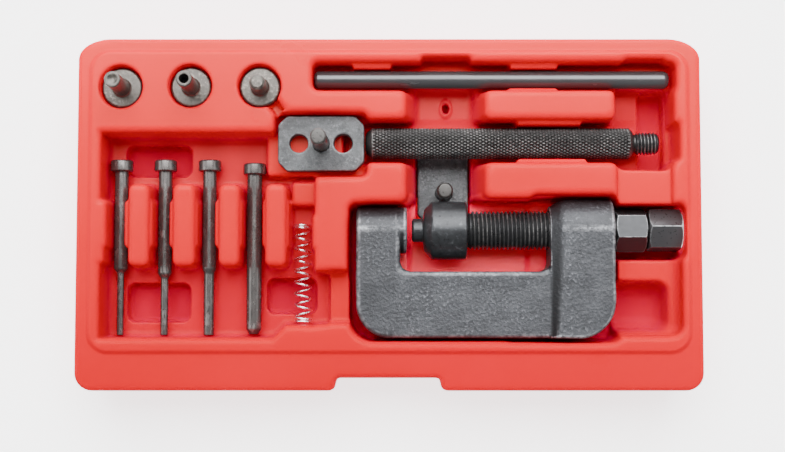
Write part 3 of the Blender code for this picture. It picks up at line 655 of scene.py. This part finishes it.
    block(46.0, 32.15, 68.9, 36.0, 11.0, 26.5, 1.0, kf=1.2, kt=1.2)
    block(46.0, 16.0, 70.5, 19.65, 11.0, 26.5, 1.0, kf=1.2, kt=1.2)
    block(43.6, 52.55, 60.5, 58.0, 16.0, 26.0, 1.0, kf=1.2, kt=1.2)
    block(42.7, 41.0, 60.4, 45.2, 16.0, 26.0, 1.0, kf=1.2, kt=1.2)
    block(-13.0, 52.55, 0.7, 58.0, 16.0, 26.0, 1.0, kf=1.2, kt=1.2)
    pocket(-22.5, -39.0, -12.5, -20.2, 21.0, 1.5, ku=0.8)
    F = smax(F, -P, 2.3)
    for cx, cy in ((-95.7, 45.2), (-71.0, 45.5), (-46.3, 45.5)):
        X, Y, Z, sl = G.xyz((cx - 14, cy - 14, 15), (cx + 14, cy + 14, 99))
        d = np.sqrt((X - cx) ** 2 + (Y - cy) ** 2) - 7.5 - (Z - 22.7) * 0.03
        d = smax(d, 22.7 - Z, 0.6)
        F[sl] = smax(F[sl], -d, 0.9)
    # passage behind the screw heads, and the vent with its raised lip
    X, Y, Z, sl = G.xyz((90, -20, 5), (116, 10, 40))
    d = np.sqrt((Y - AXY) ** 2 + (Z - AXZ) ** 2) - 8.55
    F[sl] = smax(F[sl], -np.maximum(d, 96.0 - X), 0.3)
    X, Y, Z, sl = G.xyz((14, 32, 5), (28, 46, 20))
    e = np.sqrt((X - 20.7) ** 2 + ((Y - 39.6) / 1.5) ** 2)
    F[sl] = smin(F[sl], smax(e - 2.2, Z - 13.5, 0.5), 0.6)
    F[sl] = smax(F[sl], -np.maximum(e - 1.2, 8.0 - Z), 0.5)

    V, Q, Nn = G.surface(F)
    ob = make_mesh("tray", V, Q, M_TRAY, Nn)
    vx, vy, vz = V[:, 0], V[:, 1], V[:, 2]
    # painted light and shade: lighter towards the top (+Y), much lighter in the shaded throat, the gap above the bolt
    # and the anvil pockets, a little lighter on the thread-end floor and darker on the handle-end shelf; painted sheen
    # in the throat and less on the shelf
    throat = np.clip(-box2(vx, vy, 32.0, -14.0, 30.0, 20.0, 2.0) / 2.0, 0, 1) * np.clip((12.5 - vz) / 1.5, 0, 1)
    painted_light_shade = 1.0 + 0.16 * np.clip(vy / 60.0, -1, 1) + 0.9 * throat
    painted_light_shade += 0.9 * np.clip(-box2(vx, vy, 32.0, 4.0, 28.0, 4.0, 2.0) / 1.0, 0, 1) * np.clip((26.0 - vz) / 3.0, 0, 1)
    for cx, cy in ((-95.7, 45.2), (-71.0, 45.5), (-46.3, 45.5)):
        painted_light_shade += 0.6 * np.clip((8.3 - np.hypot(vx - cx, vy - cy)) / 0.4, 0, 1) * np.clip((29.3 - vz) / 0.6, 0, 1)
    end = np.clip(-box2(vx, vy, 95.8, 31.0, 5.6, 16.0, 2.0) / 1.0, 0, 1) * np.clip((11.0 - vz) / 2.0, 0, 1)
    painted_light_shade += 0.08 * end
    shelf = np.clip(-box2(vx, vy, 86.0, 31.0, 5.5, 16.0, 2.0) / 1.0, 0, 1) * np.clip((15.5 - vz) / 1.0, 0, 1)
    paint(ob, "painted_light_shade", painted_light_shade - 0.1 * shelf)
    paint(ob, "painted_sheen", 0.45 * throat - 0.10 * shelf)
    finish_piece(ob, "tray", ["case_tray"])
    return ob


TRAY = build_tray()

# =========================================================================== the press frame


def build_frame():
    step = 0.3
    G = Grid((-12.4, -44.9, 6.8), (80.9, 6.4, 30.4), step)
    X, Y, Z, _ = G.xyz()
    z = Z - AXZ
    r = np.sqrt((Y - AXY) ** 2 + z ** 2)
    hh = np.where(Y > AXY, r, np.abs(z))          # upper ends are half round about the screw axis
    low = box2(X, Y, 34.25, 0.0, 46.05, 44.3, 12.3)
    low = np.where(X > 40, box2(X, Y, 34.25, 0.0, 46.05, 44.3, 13.0), low)
    low = np.where(Y > -20, np.abs(X - 34.25) - 46.05, low)
    beam = np.maximum(low, Y + 20.6)
    arm = np.maximum(low, X - 3.9)
    bossx = np.maximum(low, 58.0 - X)
    web2 = smin(smin(arm, beam, 4.6), bossx, 5.6)
    web2 = np.maximum(web2, low)
    web = smax(web2, hh - 8.5, 1.7)
    bevel = np.clip(0.75 + (Y + 44.0) * 0.028, 0.75, 1.75)
    slope = (57.6 + (hh - 8.5) * bevel - X) / np.sqrt(1 + bevel ** 2)
    boss = smax(smax(low, slope, 0.5), hh - 11.25, 1.1)
    boss = np.maximum(boss, 57.6 - X)
    F = smin(web, boss, 0.7)
    # seat for the anvil
    seat = smax(r - 8.40, np.maximum(X - 6.4, 1.0 - X), 1.1)
    F = np.minimum(F, seat)
    F = smax(F, -np.maximum(r - 3.1, np.abs(X + 3) - 14), 0.3)
    F = smax(F, -np.maximum(r - 7.12, np.abs(X - 70) - 16), 0.6)
    hs = np.sqrt((X - 70) ** 2 + z ** 2)
    F = smax(F, -np.maximum(hs - 4.25, Y + 31.3), 0.5)
    n1 = waves(3, 14, 7.0, 22.0)
    n2 = waves(5, 22, 1.6, 4.5)
    flat = np.clip((r - 8.3) / 3.0, 0, 1)
    F = F + (0.05 * n1(X, Y, Z) + 0.012 * n2(X, Y, Z)) * flat
    V, Q, Nn = G.surface(F)
    ob = make_mesh("frame", V, Q, M_FRAME, Nn)
    y, zz = V[:, 1] - AXY, V[:, 2] - AXZ
    # painted highlight: a bright line along the tops of the arm and boss where the half round meets the flat face,
    # added to the rubbed edges
    painted_highlight_line = np.clip(1 - np.abs(y - 0.2) / 1.5, 0, 1) * (zz > 8.0) * ((V[:, 0] < 6.5) * (zz < 9.2) + (V[:, 0] > 59) * (zz > 10.6))
    paint(ob, "edge", np.clip(np.clip((G.curv - 0.22) / 0.55, 0, 1) ** 1.4 + painted_highlight_line * 0.9, 0, 1))
    # painted shade on the sloping flank of the boss, which faces away from the light, and on the lower half of the
    # anvil seat, which curves away from it; also darker towards the left end of the arm
    paint(ob, "scale", np.clip((-Nn[:, 0] - 0.25) / 0.3, 0, 1) * np.clip(Nn[:, 2] / 0.3, 0, 1) * (V[:, 0] > 55) + 0.28 * np.clip((4.5 - V[:, 0]) / 4.0, 0, 1) + 0.9 * np.clip((V[:, 0] - 3.7) / 0.5, 0, 1) * (V[:, 0] < 7.0) * np.clip((3.0 - y) / 3.0, 0, 1) * (y > -9.5))
    finish_piece(ob, "press", ["press_frame"])
    return ob


FRAME_OB = build_frame()

# =========================================================================== screws


def hex_solid(name, af, x0, x1, turn, cham, mat, bore_r, step=0.2):
    """Hexagon with turned corners around the screw axis; bore_r 0 leaves it solid."""
    step = step * 1
    R = af / sqrt(3.0)
    G = Grid((x0 - 0.4, AXY - R - 0.4, AXZ - R - 0.4), (x1 + 0.4, AXY + R + 0.4, AXZ + R + 0.4), step)
    X, Y, Z, _ = G.xyz()
    y, z = Y - AXY, Z - AXZ
    t = radians(turn)
    d = -1e9
    for i in range(3):
        # face normals: a corner points up (+Z) when turn is 0
        a = t + pi / 6 + i * pi / 3
        d = np.maximum(d, np.abs(-y * sin(a) + z * cos(a)) - af / 2) if i else np.abs(-y * sin(a) + z * cos(a)) - af / 2
    r = np.sqrt(y * y + z * z)
    c = cos(radians(30))
    s = sin(radians(30))
    cone1 = (X - x1) * c + (r - (af / 2 - 0.25)) * s
    cone0 = (x0 - X) * c + (r - (af / 2 - 0.25)) * s
    F = smax(d, np.maximum(X - x1, x0 - X), 0.25)
    F = smax(F, np.maximum(cone1, cone0), 0.12)
    if bore_r:
        F = np.maximum(F, bore_r - r)
    V, Q, Nn = G.surface(F)
    return V, Q, Nn, np.clip((G.curv - 0.7) / 1.6, 0, 1)


def add_tube(r_out, x0, x1, r_in, n=72):
    prof = [(r_in, x0), (r_out, x0), (r_out, x1), (r_in, x1)]
    v, f = revolve(prof, n, closed=True)
    return lay(v, 'x', (0, AXY, AXZ)), f


def build_screws():
    o = (0, AXY, AXZ)
    # pressure screw: thread, small hexagon
    V, Q, Nn, ec = hex_solid("hex1", 14.0, 81.3, 92.6, 20.5, 0.9, M_HEX, 5.15)
    hx = make_mesh("pressure_screw_hex", V, Q, M_HEX, Nn)
    paint(hx, "edge", ec)
    finish_piece(hx, "pressure_screw", ["pressure_screw"])
    V, Q = screw_thread(28.3, 80.9, 7.0, 0.92, 1.5, n=96, per=8)
    prof = [(5.15, 31.0), (2.8, 30.0), (2.8, 22.7), (4.3, 22.7), (4.3, 28.3), (6.09, 28.3)]
    v2, f2 = revolve(prof, 96)
    prof = [(6.09, 80.9), (6.09, 82.2), (5.15, 82.2), (5.15, 31.0)]
    v3, f3 = revolve(prof, 96)
    VV, FF = join((V, Q), (v2, f2), (v3, f3))
    th = make_mesh("pressure_screw_thread", lay(VV, 'x', o), FF, M_BOLT, sharp=50)
    paint(th, "edge", np.clip((np.hypot(VV[:, 0], VV[:, 1]) - 6.70) / 0.28, 0, 1) ** 2.5)
    finish_piece(th, "pressure_screw")
    # extraction screw
    V, Q, Nn, ec2 = hex_solid("hex2", 14.0, 93.2, 105.3, -8.0, 1.2, M_HEX2, 0)
    h2 = make_mesh("extraction_screw_hex", V, Q, M_HEX2, Nn)
    paint(h2, "edge", ec2)
    finish_piece(h2, "extraction_screw", ["extraction_screw"])
    V, Q = screw_thread(42.8, 88.5, 4.85, 0.75, 1.25, n=64, per=6)
    v2, f2 = revolve([(0, 42.3), (3.6, 42.3), (4.1, 42.8)], 64)
    v3, f3 = revolve([(4.1, 88.5), (4.1, 93.7)], 64)
    VV, FF = join((V, Q), (v2, f2), (v3, f3))
    t2 = make_mesh("extraction_screw_thread", lay(VV, 'x', o), FF, M_BOLT, sharp=50)
    finish_piece(t2, "extraction_screw")
    # nose
    prof = [(2.75, 8.2), (3.65, 8.2), (4.25, 8.8), (4.25, 12.2), (7.4, 12.6), (10.5, 15.4), (10.5, 27.4), (10.0, 27.9), (4.65, 27.9), (4.65, 22.3), (2.75, 22.3)]
    prof = fillet(prof, [0, 0.35, 0.35, 0.5, 0.6, 0.7, 0.3, 0.3, 0, 0, 0], 4)
    v, f = revolve(prof, 120, closed=True)
    ob = make_mesh("nose", lay(v, 'x', o), f, M_NOSE, sharp=35)
    finish_piece(ob, "nose", ["thrust_nose"])
    prof = fillet([(0, 36.0), (3.7, 36.0), (4.1, 36.4), (4.1, 41.6), (3.7, 42.0), (0, 42.0)], [0, .1, .1, .1, .1, 0], 2)
    v, f = revolve(prof, 64)
    ob = make_mesh("plunger", lay(v, 'x', o), f, M_OX, sharp=35)
    finish_piece(ob, "plunger", ["drive_plunger"])


build_screws()

# =========================================================================== handle and lever


def build_handle():
    o = (0, 25.9, 20.0)
    n = 288
    x0, x1 = -6.0, 86.6
    nxs = int((x1 - x0) / (0.22))
    xs = np.linspace(x0, x1, nxs + 1)
    th = np.linspace(0, 2 * pi, n, endpoint=False)
    T, XX = np.meshgrid(th, xs)
    starts = 28
    r0 = 5.6
    lead = 2 * pi * r0 / tan(radians(30)) * 1.0
    a = (T * starts / (2 * pi) + XX * starts / lead) % 1.0
    b = (T * starts / (2 * pi) - XX * starts / lead) % 1.0
    ga = np.maximum(0, 1 - np.abs(a - 0.5) * 2 / 0.62)
    gb = np.maximum(0, 1 - np.abs(b - 0.5) * 2 / 0.62)
    fade = np.clip((XX - x0) / 0.6, 0, 1) * np.clip((x1 - XX) / 0.6, 0, 1)
    R = r0 - 0.50 * np.maximum(ga, gb) * fade
    V = np.stack([R * np.cos(T), R * np.sin(T), XX], axis=2).reshape(-1, 3)
    idx = np.arange((nxs + 1) * n).reshape(nxs + 1, n)
    nx = np.roll(idx, -1, axis=1)
    Q = np.stack([idx[:-1].ravel(), nx[:-1].ravel(), nx[1:].ravel(), idx[1:].ravel()], axis=1)
    pl = fillet([(0, -8.5), (2.8, -8.5), (3.9, -8.1), (5.6, -6.2), (5.6, -6.0)], [0, 0.4, 0.4, 0.2, 0], 3)
    v2, f2 = revolve(pl, n)
    pr = [(5.6, 86.6), (4.4, 87.9), (3.3, 88.1), (3.3, 89.3)]
    v3, f3 = revolve(fillet(pr, [0, 0.2, 0.2, 0]), n)
    VV, FF = join((V, Q), (v2, f2), (v3, f3))
    ob = make_mesh("handle_bar", lay(VV, 'x', o), FF, M_KNURL, sharp=60)
    paint(ob, "edge", np.clip((np.hypot(VV[:, 0], VV[:, 1]) - 5.44) / 0.14, 0, 1))
    finish_piece(ob, "handle", ["handle"])
    V, Q = screw_thread(88.9, 96.9, 4.05, 0.72, 1.25, n=72, per=8, entry=0.5, exit_=0.9, r_end1=3.3)
    v2, f2 = revolve([(3.3, 96.9), (2.9, 97.3), (0, 97.3)], 72)
    v3, f3 = revolve([(3.0, 88.6), (3.33, 88.9)], 72)
    VV, FF = join((V, Q), (v2, f2), (v3, f3))
    ob = make_mesh("handle_thread", lay(VV, 'x', o), FF, M_BOLT, sharp=50)
    paint(ob, "edge", np.clip((np.hypot(VV[:, 0], VV[:, 1]) - 3.8) / 0.24, 0, 1) ** 2.5)
    finish_piece(ob, "handle")


build_handle()


def turned(name, profile, radii, axis, origin, mat, body, replaces=(), n=96, closed=False, seg=5):
    pr = fillet(profile, radii, seg)
    v, f = revolve(pr, n, closed)
    ob = make_mesh(name, lay(v, axis, origin), f, mat, sharp=38)
    return finish_piece(ob, body, replaces)


turned("lever_bar", [(0, -26.9), (2.35, -26.9), (3.25, -26.0), (3.25, 99.6), (2.1, 100.9), (0, 101.0)], [0, 0.15, 0.2, 0.9, 0.8, 0], 'x', (0, 48.75, 22.3), M_OXL, "lever", ["lever"])

# =========================================================================== pins
for px, tip, nm, st in ((-97.2, 2.5, "2_5", 20.2), (-81.3, 2.8, "2_8", 22.0), (-65.2, 3.8, "3_8", 20.2)):
    sr, hd = 2.5, 4.1
    turned("breaker_" + nm, [(0, -20.1), (hd - 0.45, -20.1), (hd, -19.65), (hd, -16.35), (hd - 0.25, -16.1), (sr + 0.1, -16.1), (sr, -15.6), (sr, st - 0.8), (tip / 2 + 0.1, st + 0.5), (tip / 2, st + 1.0), (tip / 2, 43.1), (tip / 2 - 0.3, 43.4), (0, 43.4)],
           [0, 0.2, 0.2, 0.1, 0.1, 0.1, 0.3, 0.4, 0.2, 0.3, 0.1, 0.1, 0], '-y', (px, 0, 17.3), M_PIN, "breaker_pin_" + nm, ["breaker_pin_" + nm])
turned("riveter", [(0, -18.9), (3.65, -18.9), (4.1, -18.45), (4.1, -15.15), (3.85, -14.9), (2.85, -14.9), (2.75, -14.4), (2.75, 41.1), (1.6, 43.0), (1.0, 43.0), (0, 43.0)],
       [0, 0.2, 0.2, 0.1, 0.1, 0.1, 0.3, 0.35, 0.2, 0.1, 0], '-y', (-48.9, 0, 17.3), M_PIN, "rivet_pin", ["rivet_pin"])

# =========================================================================== anvils
for nm, (cx, cy), top in (("solid", (-95.7, 45.2), 45.4), ("hollow", (-71.0, 45.5), 45.1), ("short", (-46.3, 45.5), 38.6)):
    pr = 2.85
    prof = [(0, 23.0), (6.8, 23.0), (7.15, 23.35), (7.15, 26.5), (6.65, 27.0), (3.5, 27.0), (pr, 27.6)]
    rad = [0, 0.1, 0.15, 0.2, 0.25, 0.2, 0.5]
    if nm == "solid":
        prof += [(pr, top - 0.35), (pr - 0.35, top), (pr - 1.1, top), (0, top - 0.8)]
        rad += [0.15, 0.15, 0.3, 0]
    elif nm == "hollow":
        prof += [(pr, top - 0.35), (pr - 0.35, top), (1.75, top), (1.6, top - 0.2), (1.6, top - 9.0), (0, top - 9.0)]
        rad += [0.15, 0.15, 0.1, 0.1, 0, 0]
    else:
        prof += [(pr, top - 0.9), (pr - 0.9, top), (0, top)]
        rad += [0.2, 0.2, 0]
    turned("anvil_" + nm + "_piece", prof, rad, 'z', (cx, cy, 0), M_DISC, "anvil_" + nm, ["anvil_" + nm])

# =========================================================================== plates


def plate_piece(name, x0, y0, x1, y1, c, z0, z1, holes, body, replaces, step=0.25):
    step = step * 1
    G = Grid((x0 - 0.4, y0 - 0.4, z0 - 0.4), (x1 + 0.4, y1 + 0.4, z1 + 0.4), step)
    X, Y, Z, _ = G.xyz()
    cx, cy = (x0 + x1) / 2, (y0 + y1) / 2
    hx, hy = (x1 - x0) / 2, (y1 - y0) / 2
    ax_, ay_ = np.abs(X - cx), np.abs(Y - cy)
    d = np.maximum(ax_ - hx, ay_ - hy)
    d = smax(d, ((ax_ - hx) + (ay_ - hy) + c) / sqrt(2), 0.5)
    F = smax(d, np.abs(Z - (z0 + z1) / 2) - (z1 - z0) / 2, 0.7)
    for hx_, hy_, r in holes:
        F = smax(F, r - np.sqrt((X - hx_) ** 2 + (Y - hy_) ** 2), 0.6)
    V, Q, Nn = G.surface(F)
    ob = make_mesh(name, V, Q, M_PLATE, Nn)
    paint(ob, "edge", np.clip((G.curv - 0.5) / 1.5, 0, 1))
    return finish_piece(ob, body, replaces)


plate_piece("press_plate_body", -40.0, 15.5, -9.0, 35.5, 3.3, 19.5, 24.5, [(-24.5 - 7.9375, 25.5, 3.3), (-24.5 + 7.9375, 25.5, 3.3), (-24.5, 25.5, 2.92)], "press_plate", ["press_plate"])
turned("press_plate_pin_piece", [(0, 19.5), (2.9, 19.5), (2.9, 43.9), (2.3, 44.5), (0, 44.5)], [0, 0, 0.2, 0.2, 0], 'z', (-24.5, 25.5, 0), M_OX, "press_plate", ["press_plate_pin"])
plate_piece("anvil_plate_body", 10.4, -1.6, 29.2, 29.4, 2.5, 3.9, 8.1, [(20.2, 8.9, 2.92)], "tray", ["anvil_plate"])
turned("anvil_plate_pin_piece", [(0, 3.9), (2.9, 3.9), (2.9, 20.4), (2.3, 21.0), (0, 21.0)], [0, 0, 0.2, 0.2, 0], 'z', (20.2, 8.9, 0), M_OX, "tray", ["anvil_plate_pin"])

# =========================================================================== spring


def build_spring():
    R, wire = (6.6 - 0.8) / 2, 0.4
    y0, y1 = -39.0, -2.9
    length = y1 - y0 - 0.8
    dead, active = 1.25, 8.0
    turns = active + 2 * dead
    rise = dead * 0.92
    per = 64
    n = int(turns * per)
    k = 16
    C = []
    for i in range(n + 1):
        u = turns * i / n
        if u < dead:
            y = rise * u / dead
        elif u > turns - dead:
            y = length - rise * (turns - u) / dead
        else:
            y = rise + (length - 2 * rise) * (u - dead) / active
        a = 2 * pi * u
        C.append((R * cos(a), y + 0.4, R * sin(a)))
    C = np.array(C)
    T = np.gradient(C, axis=0)
    T /= np.linalg.norm(T, axis=1)[:, None]
    rad = C * np.array([1, 0, 1])
    rad /= np.linalg.norm(rad, axis=1)[:, None]
    B = np.cross(T, rad)
    ph = np.linspace(0, 2 * pi, k, endpoint=False)
    V = C[:, None, :] + wire * (np.cos(ph)[None, :, None] * rad[:, None, :] + np.sin(ph)[None, :, None] * B[:, None, :])
    V = V.reshape(-1, 3)
    idx = np.arange((n + 1) * k).reshape(n + 1, k)
    nx = np.roll(idx, -1, axis=1)
    Q = np.stack([idx[:-1].ravel(), idx[1:].ravel(), nx[1:].ravel(), nx[:-1].ravel()], axis=1)
    faces = [tuple(q) for q in Q] + [tuple(idx[0]), tuple(idx[-1][::-1])]
    a = radians(1.0)
    V = np.stack([V[:, 0] * cos(a) - V[:, 1] * sin(a), V[:, 0] * sin(a) + V[:, 1] * cos(a), V[:, 2]], axis=1)
    V = V + np.array([-31.0, -39.0, 16.7])
    ob = make_mesh("spring", V, faces, M_ZINC)
    finish_piece(ob, "return_spring", ["return_spring"])


build_spring()

# =========================================================================== setting
floor_me = bpy.data.meshes.new("floor")
s = 3.0
floor_me.from_pydata([(-s, -s, -0.0004), (s, -s, -0.0004), (s, s, -0.0004), (-s, s, -0.0004)], [], [(0, 1, 2, 3)])
floor = bpy.data.objects.new("floor", floor_me)
bpy.context.scene.collection.objects.link(floor)
fm, fnt, fb = nodes_of("floor_paint")
fb.inputs["Base Color"].default_value = (0.96, 0.96, 0.96, 1)
fb.inputs["Emission Color"].default_value = (1, 1, 1, 1)
fb.inputs["Emission Strength"].default_value = 2.3
fb.inputs["Roughness"].default_value = 0.7
floor_me.materials.append(fm)

w = bpy.data.worlds.new("soft_room")
bpy.context.scene.world = w
w.use_nodes = True
wt = w.node_tree
wc = wt.nodes.new("ShaderNodeTexCoord")
wx = wt.nodes.new("ShaderNodeSeparateXYZ")
wt.links.new(wc.outputs["Generated"], wx.inputs[0])
wr_ = wt.nodes.new("ShaderNodeMapRange")
wt.links.new(wx.outputs[1], wr_.inputs["Value"])
wr_.inputs["From Min"].default_value = -0.75
wr_.inputs["From Max"].default_value = 0.35
wr_.inputs["To Min"].default_value = 0.25
wr_.inputs["To Max"].default_value = 1.15
wt.links.new(wr_.outputs[0], w.node_tree.nodes["Background"].inputs[0])
w.node_tree.nodes["Background"].inputs[1].default_value = 0.46


def area(name, loc, aim, size, power, size_y=None):
    ld = bpy.data.lights.new(name, 'AREA')
    ld.energy = power
    ld.size = size
    if size_y:
        ld.shape = 'RECTANGLE'
        ld.size_y = size_y
    lo = bpy.data.objects.new(name, ld)
    lo.location = loc
    d = Vector(aim) - Vector(loc)
    lo.rotation_euler = d.to_track_quat('-Z', 'Y').to_euler()
    bpy.context.scene.collection.objects.link(lo)
    return lo


area("overhead", (0.0, 0.70, 1.25), (0, 0.05, 0), 1.6, 54.0, 1.05)
area("back", (0.0, 1.45, 0.75), (0, 0, 0.02), 1.8, 26.0, 0.9)
front = area("front_fill", (0.0, -1.1, 0.95), (0, 0, 0), 1.6, 13.0, 0.8)
front.visible_glossy = False
area("side_left", (-1.3, 0.2, 0.9), (0, 0, 0), 0.8, 6.5)
area("side_right", (1.3, 0.3, 0.9), (0, 0, 0), 0.8, 5.0)

cd = bpy.data.cameras.new("camera")
cam = bpy.data.objects.new("camera", cd)
cd.sensor_width = 36.0
cd.lens = 36.0 * 1410.0 / 785.0
cam.location = (0.0012, -0.0377, 0.528)
cam.rotation_euler = (radians(3.8), 0, 0)
cd.clip_start = 0.01
bpy.context.scene.collection.objects.link(cam)
bpy.context.scene.camera = cam
